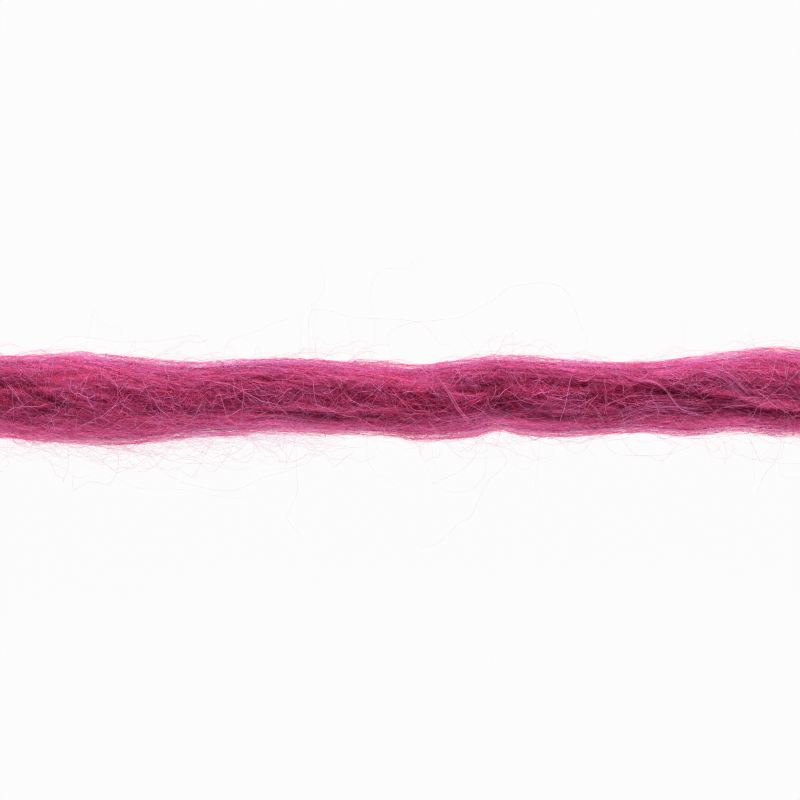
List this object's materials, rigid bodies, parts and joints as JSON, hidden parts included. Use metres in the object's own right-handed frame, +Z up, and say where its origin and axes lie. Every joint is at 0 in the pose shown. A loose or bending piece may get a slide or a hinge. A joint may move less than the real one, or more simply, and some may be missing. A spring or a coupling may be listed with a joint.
{
  "type": "knitting yarn strand",
  "caption": "Cut length of thick, soft, barely twisted single-ply wool yarn, lying straight, with slowly winding locks of fibre and plain cut ends.",
  "frame": {"origin": "under the middle of the strand, on the surface that it lies on", "axes": "+X along the strand, +Z up from the surface, +Y across the strand"},
  "size_m": [0.098, 0.0084, 0.0068],
  "materials": {
    "wool": "soft combed wool, dyed magenta, with a fuzzy surface"
  },
  "bodies": {
    "root": {"strand": "wool"}
  },
  "joints": []
}
